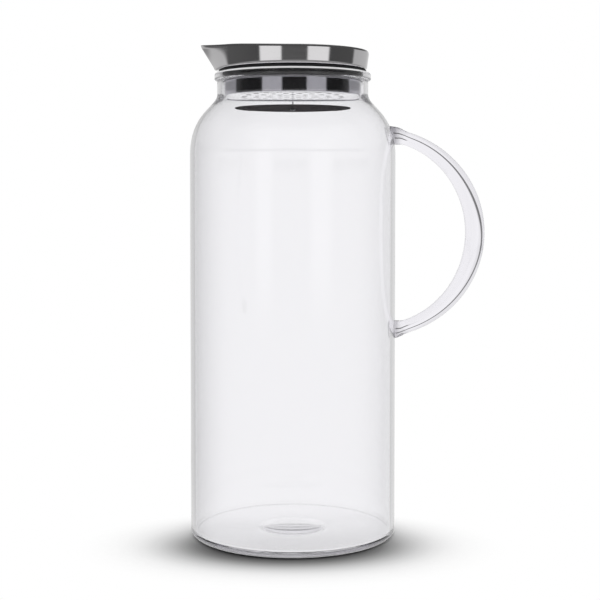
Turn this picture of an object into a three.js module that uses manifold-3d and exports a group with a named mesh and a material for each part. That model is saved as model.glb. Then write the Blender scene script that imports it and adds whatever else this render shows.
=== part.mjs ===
// Glass pitcher with a beaked steel lid.
// A blown cylinder with a rounded shoulder and a short neck carries a bent glass rod as its handle.
// The lid is a pressed dish with a pouring beak. Its collar plugs the neck, with a strainer in its foot and
// a dark guard disc hung under that. A weighted flap on a pin closes the pour opening until it is tipped.
// Millimetres, +Z up. The origin is the middle of the flat base, the handle is at +X and the beak at -X.
import * as THREE from 'three';
import { mergeVertices } from 'three/addons/utils/BufferGeometryUtils.js';
import Module from 'manifold-3d';

const wasm = await Module();
wasm.setup();

// Clearance between neighbouring pieces
const gap = 0.3;

// Glass vessel
const bodyRadius = 55; // outside of the cylinder
const glassWall = 2.4; // cylinder, shoulder and neck, measured level
const baseThickness = 3; // floor of the vessel
const footRadius = 3; // outer corner of the base
const floorRadius = 1.2; // inner corner between wall and floor
const buttonRadius = 16; // thicker middle of the floor, where the tube was closed
const buttonRise = 1.2;
const shoulderHeight = 203; // where the cylinder starts to close in
const shoulderFullness = 23.5; // how long the shoulder keeps upright
const shoulderRise = 33; // from its start to where the neck turns upright
const neckTurn = 7; // length of the turn from shoulder to neck
const neckRadius = 40.4; // outside of the neck
const neckLength = 11.4; // from the turn to the top of the rim
const beadProud = 1.4; // fire-polished rim, proud of the neck
const beadHeight = 4.9;

// Glass handle
const rodRadius = 5.2; // at the middle of the bend
const rootRadius = 3.4; // where the rod is drawn thinner, at its roots
const handleBow = 53; // radius of the bend, at the middle of the rod
const handleInset = 10; // centre of the bend, in from the outside of the cylinder
const handleRootRise = 12; // upper root above the start of the shoulder
const padRadius = 4.6; // blob of glass where the rod is fused on

// Silicone gasket
const gasketFlange = 1; // thickness between rim and lid
const gasketLip = 0.7; // thickness between collar and neck
const gasketDepth = 3.6; // how far the lip reaches into the neck
const gasketInset = 0.4; // flange's edge, in from the lid's edge

// Lid dish with its beak
const steel = 0.8; // sheet of the dish and collar
const lidSetback = 0.6; // lid's lower edge, in from the outside of the neck
const dishHeight = 9.8;
const dishFlare = 1; // how much wider the rim is than the lower edge
const dishCorner = 1.6;
const beakReach = 9; // beak's tip, out from the rim
const beakRise = 3.8; // beak's tip, above the rim at the handle
const beakSweep = 1.8; // power of the climb from the axis to the tip: 1 is a straight slope
const beakFoot = 0.28; // share of the beak's reach that the lid's lower edge follows
const pourLedge = 12.7; // dish floor between the collar's outside and the pour opening

// Collar and strainer
const collarDepth = 14.5;
const collarCurl = 1; // outside radius of its curled-in foot
const strainerSheet = 0.6;
const holeRadius = 1.5;
const holePitch = 6.6; // between rings of holes
const holeRings = 4;
const ringStep = 6; // holes that each ring has more than the last

// Guard disc, hung under the strainer on a riveted stem so that the drink flows in all round it
const guardRadius = 31;
const guardSheet = 0.5;
const guardDrop = 7.2; // its top below the strainer
const stemRadius = 0.5;
const rivetProud = 1.1; // how far the stem's heads stand out past its shaft
const rivetHead = 0.7; // their thickness

// Flap, its pin and its counterweight
const flapSheet = 0.5;
const flapLap = 1.5; // front of the flap over the edge of the pour opening
const flapPlay = 1.6; // back of the flap inside the edge of the pour opening
const hingeSetback = 6; // pin behind the middle of the lid
const lapSetback = 3; // end of the lap, in front of the pin
const pinRadius = 1;
const pinDrop = 2.2; // pin's axis below the underside of the dish floor
const pinHead = 0.8; // how far the pin's heads stand out past its shaft, and their thickness
const tabInset = 9; // hanger tabs in from the pour opening's edge
const tabMargin = 0.8; // tab around its holes
const tabThickness = 1;
const tabSlant = 0.1 * Math.PI; // where the tab's front edge meets the round under the weight
const weightRadius = 2.9;
const weightDrop = 4.6; // weight's axis below the pin
const weightSetback = 3.5; // weight's axis behind the pin
const weightOverhang = 7.5; // weight beyond the tabs
const earThickness = 1;
const earMargin = 1.7; // ear around its hole

// Facets
const roundSides = 40;
const rodSides = 12;
const rodSteps = 30;
const smallSides = 16;
const holeSides = 8;
const arcSteps = 3;

// Places worked out from the sizes
const neckHeight = shoulderHeight + shoulderRise;
const glassHeight = neckHeight + neckLength;
const neckBore = neckRadius - glassWall;
const beadRadius = neckRadius + beadProud;
const lidRadius = neckRadius - lidSetback;
const rimRadius = lidRadius + dishFlare;
const beakTip = rimRadius + beakReach;
const beakHalfAngle = Math.asin(rimRadius / beakTip);
const collarRadius = neckBore - gasketLip - 2 * gap;
const collarBore = collarRadius - steel;
const pourRadius = collarRadius - pourLedge;
const gasketSeat = glassHeight + gap;
const lidSeat = gasketSeat + gasketFlange;
const dishFloor = lidSeat + steel;
const collarFoot = lidSeat - collarDepth;
const strainerSeat = collarFoot + collarCurl;
const guardTop = strainerSeat - guardDrop;
const flapSeat = dishFloor + gap;
const pinHeight = lidSeat - pinDrop;
const pinBore = pinRadius + gap;
const weightBore = weightRadius + gap;
const tabPlace = pourRadius - tabInset;
const earPlace = pourRadius + gap;
const handleCentre = bodyRadius - handleInset;
const handleHeight = shoulderHeight + handleRootRise - handleBow;
const handleRoot = Math.sqrt(handleBow ** 2 - handleInset ** 2);

const glassFinish = { color: 0xe9eef0, roughness: 0.04, metalness: 0, transparent: true, opacity: 0.4 };
const polishedFinish = { color: 0xc9cacd, roughness: 0.12, metalness: 1 };
const brushedFinish = { color: 0xb9babd, roughness: 0.34, metalness: 1 };
const siliconeFinish = { color: 0x16171a, roughness: 0.6, metalness: 0 };

function piece(name, geometry, finish) {
  const mesh = new THREE.Mesh(geometry, new THREE.MeshStandardMaterial(finish));
  mesh.name = name;
  return mesh;
}

// Turn a profile of (radius, height) points about the Z axis
function turned(points, sides = roundSides) {
  const geometry = new THREE.LatheGeometry(points, sides);
  geometry.rotateX(Math.PI / 2);
  return geometry;
}

function circlePoints(radius, count, x = 0, y = 0) {
  const points = [];
  for (let i = 0; i < count; i += 1) {
    const angle = (i / count) * 2 * Math.PI;
    points.push(new THREE.Vector2(x + radius * Math.cos(angle), y + radius * Math.sin(angle)));
  }
  return points;
}

// A plate whose outline lies in X and Z, with its thickness along Y about the given place
function uprightPlate(shape, thickness, place) {
  const geometry = new THREE.ExtrudeGeometry(shape, {
    depth: thickness,
    bevelEnabled: false,
    curveSegments: smallSides / 2,
  });
  geometry.rotateX(Math.PI / 2);
  geometry.translate(0, place + thickness / 2, 0);
  return geometry;
}

function toSolid(geometry) {
  const bare = geometry.clone();
  bare.deleteAttribute('normal');
  bare.deleteAttribute('uv');
  const merged = mergeVertices(bare, 1e-4);
  return new wasm.Manifold(new wasm.Mesh({
    numProp: 3,
    vertProperties: new Float32Array(merged.attributes.position.array),
    triVerts: new Uint32Array(merged.index.array),
  }));
}

function toGeometry(solid) {
  const mesh = solid.getMesh();
  const geometry = new THREE.BufferGeometry();
  geometry.setAttribute('position', new THREE.BufferAttribute(new Float32Array(mesh.vertProperties), 3));
  geometry.setIndex(new THREE.BufferAttribute(new Uint32Array(mesh.triVerts), 1));
  return geometry;
}

// Outside of the vessel from the middle of the base to the top of the neck, grown outwards by a margin
function vesselOutside(margin = 0) {
  const body = bodyRadius + margin;
  const neck = neckRadius + margin;
  const path = new THREE.Path();
  path.moveTo(0, -margin);
  path.lineTo(body - footRadius, -margin);
  path.absarc(body - footRadius, footRadius - margin, footRadius, -Math.PI / 2, 0, false);
  path.lineTo(body, shoulderHeight);
  path.bezierCurveTo(body, shoulderHeight + shoulderFullness, neck, neckHeight - neckTurn, neck, neckHeight);
  return path;
}

// The vessel: outside, rim bead, then the inside down to the thicker middle of the floor
function glassBody() {
  const path = vesselOutside();
  const beadHalf = (beadRadius - neckBore) / 2;
  const beadCentre = (beadRadius + neckBore) / 2;
  const beadMiddle = glassHeight - beadHeight / 2;
  const beadStart = -Math.acos((neckRadius - beadCentre) / beadHalf);
  path.lineTo(neckRadius, beadMiddle + (beadHeight / 2) * Math.sin(beadStart));
  path.absellipse(beadCentre, beadMiddle, beadHalf, beadHeight / 2, beadStart, Math.PI, false, 0);
  const bore = bodyRadius - glassWall;
  path.lineTo(neckBore, neckHeight);
  path.bezierCurveTo(
    neckBore, neckHeight - neckTurn,
    bore, shoulderHeight + shoulderFullness,
    bore, shoulderHeight,
  );
  path.lineTo(bore, baseThickness + floorRadius);
  path.absarc(bore - floorRadius, baseThickness + floorRadius, floorRadius, 0, -Math.PI / 2, true);
  path.lineTo(buttonRadius, baseThickness);
  path.quadraticCurveTo(buttonRadius / 2, baseThickness + buttonRise, 0, baseThickness + buttonRise);
  return piece('glass_body', turned(path.getPoints(2 * arcSteps)), glassFinish);
}

// Middle of the handle's rod: half a circle in the plane of the axis, from the upper root to the lower
class HandleBend extends THREE.Curve {
  getPoint(t, target = new THREE.Vector3()) {
    const angle = Math.PI / 2 - t * Math.PI;
    const x = handleCentre + handleBow * Math.cos(angle);
    const z = handleHeight + handleBow * Math.sin(angle);
    return target.set(x, 0, z);
  }
}

// A round rod bent to half a circle and drawn thinner to its roots, with a blob of glass at each root,
// trimmed to the outside of the vessel
function glassHandle() {
  const section = new THREE.Shape(circlePoints(rodRadius, rodSides));
  const rod = new THREE.ExtrudeGeometry(section, {
    steps: rodSteps,
    bevelEnabled: false,
    extrudePath: new HandleBend(),
  });
  const position = rod.attributes.position;
  for (let i = 0; i < position.count; i += 1) {
    const x = position.getX(i) - handleCentre;
    const z = position.getZ(i) - handleHeight;
    const reach = Math.hypot(x, z);
    const thinning = (rootRadius + (rodRadius - rootRadius) * (x / reach) ** 2) / rodRadius;
    const bend = (handleBow + (reach - handleBow) * thinning) / reach;
    position.setXYZ(i, handleCentre + x * bend, position.getY(i) * thinning, handleHeight + z * bend);
  }
  let handle = toSolid(rod);
  for (const side of [1, -1]) {
    const pad = new THREE.SphereGeometry(padRadius, rodSides, rodSides / 2);
    pad.translate(bodyRadius, 0, handleHeight + side * handleRoot);
    handle = handle.add(toSolid(pad));
  }
  const trim = vesselOutside(gap);
  trim.lineTo(0, neckHeight);
  handle = handle.subtract(toSolid(turned(trim.getPoints(2 * arcSteps))));
  return piece('glass_handle', toGeometry(handle), glassFinish);
}

// Angle section: a flange on the glass rim and a lip down the inside of the neck
function lidGasket() {
  const inside = collarRadius + gap;
  const lip = inside + gasketLip;
  const edge = lidRadius - gasketInset;
  const foot = lidSeat - gasketFlange - gasketDepth;
  const profile = [
    [inside, foot], [lip, foot], [lip, gasketSeat], [edge, gasketSeat], [edge, lidSeat], [inside, lidSeat],
    [inside, foot],
  ];
  return piece('lid_gasket', turned(profile.map(([r, z]) => new THREE.Vector2(r, z))), siliconeFinish);
}

// How far the rim is pulled out into the beak, and how far it climbs, in a direction seen from the axis
function beakAt(angle) {
  const turn = Math.abs(Math.atan2(Math.sin(angle - Math.PI), Math.cos(angle - Math.PI)));
  const inBeak = turn < Math.PI / 2 - beakHalfAngle;
  const outline = inBeak ? rimRadius / Math.sin(turn + beakHalfAngle) : rimRadius;
  const along = Math.max(outline * Math.cos(turn), 0) / beakTip;
  return { pull: outline - rimRadius, climb: beakRise * along ** beakSweep };
}

// Pressed dish with the pour opening in its floor; its wall leans out into the beak
function lidCover() {
  const wallFoot = lidSeat + dishCorner;
  const top = lidSeat + dishHeight;
  const path = new THREE.Path();
  path.moveTo(pourRadius, lidSeat);
  path.lineTo(lidRadius - dishCorner, lidSeat);
  path.absarc(lidRadius - dishCorner, wallFoot, dishCorner, -Math.PI / 2, 0, false);
  path.lineTo(rimRadius, top - steel / 2);
  path.absarc(rimRadius - steel / 2, top - steel / 2, steel / 2, 0, Math.PI, false);
  path.lineTo(lidRadius - steel, wallFoot);
  path.absarc(lidRadius - dishCorner, wallFoot, dishCorner - steel, 0, -Math.PI / 2, true);
  path.lineTo(pourRadius, dishFloor);
  path.lineTo(pourRadius, lidSeat);
  const geometry = turned(path.getPoints(arcSteps - 1));
  const position = geometry.attributes.position;
  for (let i = 0; i < position.count; i += 1) {
    const x = position.getX(i);
    const y = position.getY(i);
    const z = position.getZ(i);
    const angle = Math.atan2(y, x);
    const radius = Math.hypot(x, y);
    const out = Math.min((radius - pourRadius) / (lidRadius - dishCorner - pourRadius), 1);
    const up = Math.max((z - wallFoot) / (top - wallFoot), 0);
    const { pull, climb } = beakAt(angle);
    const pulled = radius + pull * (beakFoot * out + (1 - beakFoot) * up);
    position.setXYZ(i, pulled * Math.cos(angle), pulled * Math.sin(angle), z + up * climb);
  }
  return piece('lid_cover', geometry, polishedFinish);
}

// Sleeve under the dish, with its foot curled in
function lidCollar() {
  const curlRadius = collarRadius - collarCurl;
  const path = new THREE.Path();
  path.moveTo(curlRadius, collarFoot);
  path.absarc(curlRadius, collarFoot + collarCurl, collarCurl, -Math.PI / 2, 0, false);
  path.lineTo(collarRadius, lidSeat);
  path.lineTo(collarBore, lidSeat);
  path.lineTo(collarBore, collarFoot + collarCurl);
  path.absarc(curlRadius, collarFoot + collarCurl, collarCurl - steel, 0, -Math.PI / 2, true);
  path.lineTo(curlRadius, collarFoot);
  return piece('lid_collar', turned(path.getPoints(arcSteps)), polishedFinish);
}

// Disc on the collar's curled foot with rings of round holes, and one for the stem in its middle
function strainer() {
  const disc = new THREE.Shape(circlePoints(collarBore - gap, roundSides));
  disc.holes.push(new THREE.Path(circlePoints(stemRadius + gap, smallSides)));
  for (let ring = 1; ring <= holeRings; ring += 1) {
    for (const centre of circlePoints(ring * holePitch, ringStep * ring)) {
      disc.holes.push(new THREE.Path(circlePoints(holeRadius, holeSides, centre.x, centre.y)));
    }
  }
  const geometry = new THREE.ExtrudeGeometry(disc, { depth: strainerSheet, bevelEnabled: false });
  geometry.translate(0, 0, strainerSeat);
  return piece('strainer', geometry, polishedFinish);
}

// Plain disc with a hole for the stem
function guardDisc() {
  const disc = new THREE.Shape(circlePoints(guardRadius, roundSides));
  disc.holes.push(new THREE.Path(circlePoints(stemRadius + gap, smallSides)));
  const geometry = new THREE.ExtrudeGeometry(disc, { depth: guardSheet, bevelEnabled: false });
  geometry.translate(0, 0, guardTop - guardSheet);
  return piece('guard_disc', geometry, siliconeFinish);
}

// Stem through the strainer and the guard disc, riveted over both
function guardStem() {
  const lower = guardTop - guardSheet - gap;
  const upper = strainerSeat + strainerSheet + gap;
  const headRadius = stemRadius + rivetProud;
  const profile = [
    [0, lower - rivetHead], [headRadius, lower - rivetHead], [headRadius, lower], [stemRadius, lower],
    [stemRadius, upper], [headRadius, upper], [headRadius, upper + rivetHead], [0, upper + rivetHead],
  ];
  const geometry = turned(profile.map(([r, z]) => new THREE.Vector2(r, z)), smallSides);
  return piece('guard_stem', geometry, brushedFinish);
}

// Tab under the flap with a hole for the pin and one for the weight
function hangerTab(place) {
  const weightX = hingeSetback + weightSetback;
  const weightZ = pinHeight - weightDrop;
  const reach = weightBore + tabMargin;
  const left = hingeSetback - pinBore - tabMargin;
  const tab = new THREE.Shape();
  tab.moveTo(left, flapSeat + flapSheet / 2);
  tab.lineTo(left, pinHeight - pinBore);
  tab.absarc(weightX, weightZ, reach, Math.PI + tabSlant, 2 * Math.PI, false);
  tab.lineTo(weightX + reach, flapSeat + flapSheet / 2);
  tab.holes.push(new THREE.Path(circlePoints(pinBore, smallSides, hingeSetback, pinHeight)));
  tab.holes.push(new THREE.Path(circlePoints(weightBore, smallSides, weightX, weightZ)));
  return uprightPlate(tab, tabThickness, place);
}

// Disc that laps over the pour opening in front of the pin and drops into it behind
function flap() {
  const front = pourRadius + flapLap;
  const back = pourRadius - flapPlay;
  const step = hingeSetback - lapSetback;
  const frontTurn = Math.acos(step / front);
  const backTurn = Math.acos(step / back);
  const disc = new THREE.Shape();
  disc.absarc(0, 0, front, frontTurn, 2 * Math.PI - frontTurn, false);
  disc.absarc(0, 0, back, -backTurn, backTurn, false);
  const plate = new THREE.ExtrudeGeometry(disc, {
    depth: flapSheet,
    bevelEnabled: false,
    curveSegments: roundSides / 2,
  });
  plate.translate(0, 0, flapSeat);
  const solid = toSolid(plate).add(toSolid(hangerTab(tabPlace))).add(toSolid(hangerTab(-tabPlace)));
  return piece('flap', toGeometry(solid), brushedFinish);
}

// Round bar through both tabs
function flapWeight() {
  const length = 2 * (tabPlace + tabThickness / 2 + weightOverhang);
  const geometry = new THREE.CylinderGeometry(weightRadius, weightRadius, length, smallSides);
  const bar = piece('flap_weight', geometry, brushedFinish);
  bar.position.set(hingeSetback + weightSetback, 0, pinHeight - weightDrop);
  return bar;
}

// Pin with a riveted head at each end, outside the ears
function flapPin() {
  const shaftEnd = earPlace + earThickness + gap;
  const headEnd = shaftEnd + pinHead;
  const headRadius = pinRadius + pinHead;
  const profile = [
    [0, -headEnd], [headRadius, -headEnd], [headRadius, -shaftEnd], [pinRadius, -shaftEnd],
    [pinRadius, shaftEnd], [headRadius, shaftEnd], [headRadius, headEnd], [0, headEnd],
  ];
  const geometry = new THREE.LatheGeometry(profile.map(([r, y]) => new THREE.Vector2(r, y)), smallSides);
  const pin = piece('flap_pin', geometry, brushedFinish);
  pin.position.set(hingeSetback, 0, pinHeight);
  return pin;
}

// Ear welded under the dish floor beside the pour opening
function hingeEar(name, side) {
  const half = pinBore + earMargin;
  const ear = new THREE.Shape();
  ear.moveTo(hingeSetback - half, lidSeat);
  ear.lineTo(hingeSetback - half, pinHeight);
  ear.absarc(hingeSetback, pinHeight, half, Math.PI, 2 * Math.PI, false);
  ear.lineTo(hingeSetback + half, lidSeat);
  ear.holes.push(new THREE.Path(circlePoints(pinBore, smallSides, hingeSetback, pinHeight)));
  return piece(name, uprightPlate(ear, earThickness, side * (earPlace + earThickness / 2)), brushedFinish);
}

const vessel = new THREE.Group();
vessel.add(glassBody(), glassHandle());

const lid = new THREE.Group();
lid.add(lidGasket(), lidCover(), lidCollar(), strainer(), guardDisc(), guardStem());
lid.add(hingeEar('hinge_ear_left', -1), hingeEar('hinge_ear_right', 1), flapPin());
lid.add(flap(), flapWeight());

const pitcher = new THREE.Group();
pitcher.add(vessel, lid);

export default pitcher;
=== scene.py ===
# Glass pitcher with a beaked steel lid: its surfaces, finishes, stage and camera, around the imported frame.
# Sizes of the pieces are in millimetres; places in the finishes, stage and camera are in metres.
# +Z is up, the handle is at +X and the beak at -X.
import math

import bmesh
import bpy
import numpy as np
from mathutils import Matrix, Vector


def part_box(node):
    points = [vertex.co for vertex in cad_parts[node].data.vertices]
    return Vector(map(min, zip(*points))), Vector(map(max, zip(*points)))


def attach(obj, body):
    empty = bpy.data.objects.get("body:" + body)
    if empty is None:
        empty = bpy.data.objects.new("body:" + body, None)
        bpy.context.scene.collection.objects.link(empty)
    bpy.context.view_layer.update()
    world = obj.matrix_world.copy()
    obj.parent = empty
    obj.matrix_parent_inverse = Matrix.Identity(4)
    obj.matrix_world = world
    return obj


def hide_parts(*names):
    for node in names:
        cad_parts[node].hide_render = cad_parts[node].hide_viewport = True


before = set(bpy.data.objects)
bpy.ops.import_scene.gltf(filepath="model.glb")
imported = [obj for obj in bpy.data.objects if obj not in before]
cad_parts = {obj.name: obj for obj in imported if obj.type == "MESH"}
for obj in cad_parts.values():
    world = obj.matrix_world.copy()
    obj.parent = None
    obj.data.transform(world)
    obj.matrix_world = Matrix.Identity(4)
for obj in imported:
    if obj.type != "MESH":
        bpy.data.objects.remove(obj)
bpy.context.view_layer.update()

millimetre = 0.001
closest = 0.01  # points of a path nearer than this, in millimetres, become one
weldReach = 0.0001  # corners of a filled sheet nearer than this become one
noiseSpan = (0.3, 0.7)  # range that most of a noise lies in
scene = bpy.context.scene
collection = scene.collection


def nodeBox(node):
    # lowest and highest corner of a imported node, in millimetres
    low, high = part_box(node)
    return np.array(low) / millimetre, np.array(high) / millimetre


# paths and grids

def arcPath(centre, radii, start, stop, count):
    # ellipse arc: centre + radii * (cos a, sin a), with a in degrees
    a = np.radians(np.linspace(start, stop, count))
    return np.stack([centre[0] + radii[0] * np.cos(a), centre[1] + radii[1] * np.sin(a)], axis=1)


def bezierPath(points, count):
    # cubic curve: the four points weighted by (1-t)^3, 3t(1-t)^2, 3t^2(1-t) and t^3
    t = np.linspace(0, 1, count)[:, None]
    weights = np.hstack([(1 - t) ** 3, 3 * t * (1 - t) ** 2, 3 * t ** 2 * (1 - t), t ** 3])
    return weights @ np.array(points, dtype=float)


def evenPath(path, step):
    # the same path with no stretch longer than the step: its points and even stations by arc length
    length = np.r_[0, np.cumsum(np.linalg.norm(np.diff(path, axis=0), axis=1))]
    stations = np.union1d(length, np.arange(0, length[-1], step))
    stations = stations[np.r_[True, np.diff(stations) > closest]]
    return np.stack([np.interp(stations, length, path[:, k]) for k in (0, 1)], axis=1)


def roundedOutline(corners, reach, steps=7):
    # closed outline: each corner is a quadratic curve between points that lie `reach` away on its two sides
    corners = np.array(corners, dtype=float)
    reach = np.broadcast_to(np.array(reach, dtype=float), (len(corners),))[:, None]
    back = np.roll(corners, 1, axis=0) - corners
    ahead = np.roll(corners, -1, axis=0) - corners
    start = corners + back / np.linalg.norm(back, axis=1, keepdims=True) * reach
    stop = corners + ahead / np.linalg.norm(ahead, axis=1, keepdims=True) * reach
    t = np.linspace(0, 1, steps)[None, :, None]
    curve = (1 - t) ** 2 * start[:, None] + 2 * t * (1 - t) * corners[:, None] + t ** 2 * stop[:, None]
    return curve.reshape(-1, 2)


def closedEven(outline, step):
    # closed outline resampled like evenPath, without a doubled last point
    return evenPath(np.vstack([outline, outline[:1]]), step)[:-1]


def gridQuads(rows, columns, wrapRows):
    # quads between neighbours of a grid whose columns close on themselves
    i = np.arange(rows if wrapRows else rows - 1)[:, None]
    j = np.arange(columns)[None, :]
    near = i * columns
    far = (i + 1) % rows * columns
    following = (j + 1) % columns
    return np.stack([near + j, near + following, far + following, far + j], axis=-1).reshape(-1, 4)


def capFan(centre, ring, atStart):
    # triangles from one point to a closed ring, facing away from the grid
    following = np.roll(ring, -1)
    pair = (following, ring) if atStart else (ring, following)
    return np.stack([np.full(len(ring), centre), *pair], axis=1)


def turnRing(outline, sides):
    # closed (r, z) outline carried round Z: x = r cos a, y = r sin a
    a = np.arange(sides) / sides * 2 * np.pi
    r = outline[:, :1]
    points = np.stack([r * np.cos(a), r * np.sin(a), np.repeat(outline[:, 1:], sides, axis=1)], axis=-1)
    return points.reshape(-1, 3), gridQuads(len(outline), sides, True).tolist()


def turnSolid(profile, sides):
    # (r, z) profile from axis to axis carried round Z, each end closed to one point on the axis
    a = np.arange(sides) / sides * 2 * np.pi
    rings = profile[1:-1]
    r = rings[:, :1]
    points = np.stack([r * np.cos(a), r * np.sin(a), np.repeat(rings[:, 1:], sides, axis=1)], axis=-1)
    points = np.vstack([points.reshape(-1, 3), [0, 0, profile[0, 1]], [0, 0, profile[-1, 1]]])
    around = np.arange(sides)
    faces = gridQuads(len(rings), sides, False).tolist()
    faces += capFan(len(points) - 2, around, True).tolist()
    faces += capFan(len(points) - 1, (len(rings) - 1) * sides + around, False).tolist()
    return points, faces


def layAlongY(points, place):
    # turn a Z-axis piece to lie along Y, then put it at its place
    return np.stack([points[:, 0], points[:, 2], -points[:, 1]], axis=1) + np.array(place)


def meshFrom(name, points, faces):
    # smooth mesh from points in millimetres
    mesh = bpy.data.meshes.new(name)
    mesh.from_pydata((np.asarray(points) * millimetre).tolist(), [], faces)
    mesh.polygons.foreach_set("use_smooth", np.ones(len(mesh.polygons), dtype=bool))
    mesh.update()
    return mesh


def sheetPoints(outlines, thickness, edge):
    # flat sheet with holes: closed outlines filled, thickened both ways and rounded at every edge
    curve = bpy.data.curves.new("sheetOutline", "CURVE")
    curve.dimensions = "2D"
    curve.fill_mode = "BOTH"
    curve.extrude = thickness / 2 - edge
    curve.bevel_depth = edge
    curve.bevel_resolution = 2
    curve.offset = -edge
    for outline in outlines:
        spline = curve.splines.new("POLY")
        spline.points.add(len(outline) - 1)
        flat = np.zeros((len(outline), 4))
        flat[:, :2] = outline
        spline.points.foreach_set("co", flat.ravel())
        spline.use_cyclic_u = True
    holder = bpy.data.objects.new("sheetOutline", curve)
    mesh = bpy.data.meshes.new_from_object(holder)
    build = bmesh.new()
    build.from_mesh(mesh)
    bmesh.ops.remove_doubles(build, verts=build.verts, dist=weldReach)
    bmesh.ops.recalc_face_normals(build, faces=build.faces)
    build.to_mesh(mesh)
    build.free()
    points = np.empty(len(mesh.vertices) * 3)
    mesh.vertices.foreach_get("co", points)
    faces = [list(face.vertices) for face in mesh.polygons]
    bpy.data.objects.remove(holder)
    bpy.data.curves.remove(curve)
    bpy.data.meshes.remove(mesh)
    return points.reshape(-1, 3), faces


def joinParts(parts):
    # several (points, faces) in one piece
    offsets = np.cumsum([0] + [len(points) for points, faces in parts[:-1]])
    points = np.vstack([part[0] for part in parts])
    faces = [[index + int(offset) for index in face]
             for (_, partFaces), offset in zip(parts, offsets) for face in partFaces]
    return points, faces


def addPiece(name, shape, body, node, material, flatSides=False):
    # put a finished surface in the scene, on its body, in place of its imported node
    piece = bpy.data.objects.new(name, meshFrom(name, *shape))
    piece.data.materials.append(material)
    collection.objects.link(piece)
    if flatSides:
        normals = piece.modifiers.new("evenNormals", "WEIGHTED_NORMAL")
        normals.weight = 100
    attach(piece, body)
    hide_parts(node)
    print("piece", name, len(piece.data.vertices), "points")
    return piece


# finishes

def newMaterial(name):
    # plain material with its nodes, links and main shader
    material = bpy.data.materials.new(name)
    material.use_nodes = True
    nodes, links = material.node_tree.nodes, material.node_tree.links
    return material, nodes, links, nodes["Principled BSDF"]


def mathNode(nodes, links, operation, *values):
    # one sum on sockets or numbers
    node = nodes.new("ShaderNodeMath")
    node.operation = operation
    for socket, value in zip(node.inputs, values):
        if isinstance(value, (int, float)):
            socket.default_value = value
        else:
            links.new(value, socket)
    return node.outputs[0]


def rangeNode(nodes, links, value, fromLow, fromHigh, toLow, toHigh, smooth=False):
    # value carried from one range to another and held at both ends
    node = nodes.new("ShaderNodeMapRange")
    node.interpolation_type = "SMOOTHSTEP" if smooth else "LINEAR"
    links.new(value, node.inputs["Value"])
    labels = ("From Min", "From Max", "To Min", "To Max")
    for label, number in zip(labels, (fromLow, fromHigh, toLow, toHigh)):
        node.inputs[label].default_value = number
    return node.outputs["Result"]


def mixNode(nodes, links, factor, first, second):
    # colour from first to second by the factor; each is a socket, a colour or a grey level
    node = nodes.new("ShaderNodeMix")
    node.data_type = "RGBA"
    links.new(factor, node.inputs["Factor"])
    for label, value in (("A", first), ("B", second)):
        if isinstance(value, bpy.types.NodeSocket):
            links.new(value, node.inputs[label])
        else:
            node.inputs[label].default_value = (*np.broadcast_to(value, 3).tolist(), 1)
    return node.outputs["Result"]


def noiseNode(nodes, links, vector, scale, detail):
    # noise level, finer with the scale and rougher with the detail
    node = nodes.new("ShaderNodeTexNoise")
    node.inputs["Scale"].default_value = scale
    node.inputs["Detail"].default_value = detail
    links.new(vector, node.inputs["Vector"])
    return node.outputs["Fac"]


def bumpNode(nodes, links, height, strength, distance):
    # normal that follows a height of so many metres
    node = nodes.new("ShaderNodeBump")
    node.inputs["Strength"].default_value = strength
    node.inputs["Distance"].default_value = distance
    links.new(height, node.inputs["Height"])
    return node.outputs["Normal"]


def turnedVector(nodes, links, across, around):
    # radius and height at a fine scale, angle about Z at a coarse one: marks run round the axis
    place = nodes.new("ShaderNodeTexCoord").outputs["Object"]
    split = nodes.new("ShaderNodeSeparateXYZ")
    links.new(place, split.inputs[0])
    x, y, z = split.outputs
    square = mathNode(nodes, links, "ADD", mathNode(nodes, links, "MULTIPLY", x, x),
                      mathNode(nodes, links, "MULTIPLY", y, y))
    radius = mathNode(nodes, links, "SQRT", square)
    angle = mathNode(nodes, links, "ARCTAN2", y, x)
    join = nodes.new("ShaderNodeCombineXYZ")
    links.new(mathNode(nodes, links, "MULTIPLY", radius, across), join.inputs[0])
    links.new(mathNode(nodes, links, "MULTIPLY", z, across), join.inputs[1])
    links.new(mathNode(nodes, links, "MULTIPLY", angle, around), join.inputs[2])
    return join.outputs[0]


glassLook = {
    "tint": (0.966, 0.964, 0.976),
    "index": 1.47,
    "depthColour": (0.2, 0.16, 0.3),
    "depthDensity": 2.5,
    "rippleScale": 26.0,
    "rippleDetail": 1.0,
    "rippleHeight": 0.00003,
    "rodTint": (0.915, 0.905, 0.942),
    # painted shade at the rod's roots, and how far from the wall it fades out
    "rootPaintedShade": (0.38, 0.37, 0.4),
    "rootShadeReach": (0.0546, 0.0574),
    "groundColour": (0.93, 0.93, 0.94),
    "groundClear": 0.3,
    "groundScale": 2200.0,
    "groundDetail": 3.0,
    "groundRoughness": (0.5, 0.7),
}


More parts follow.
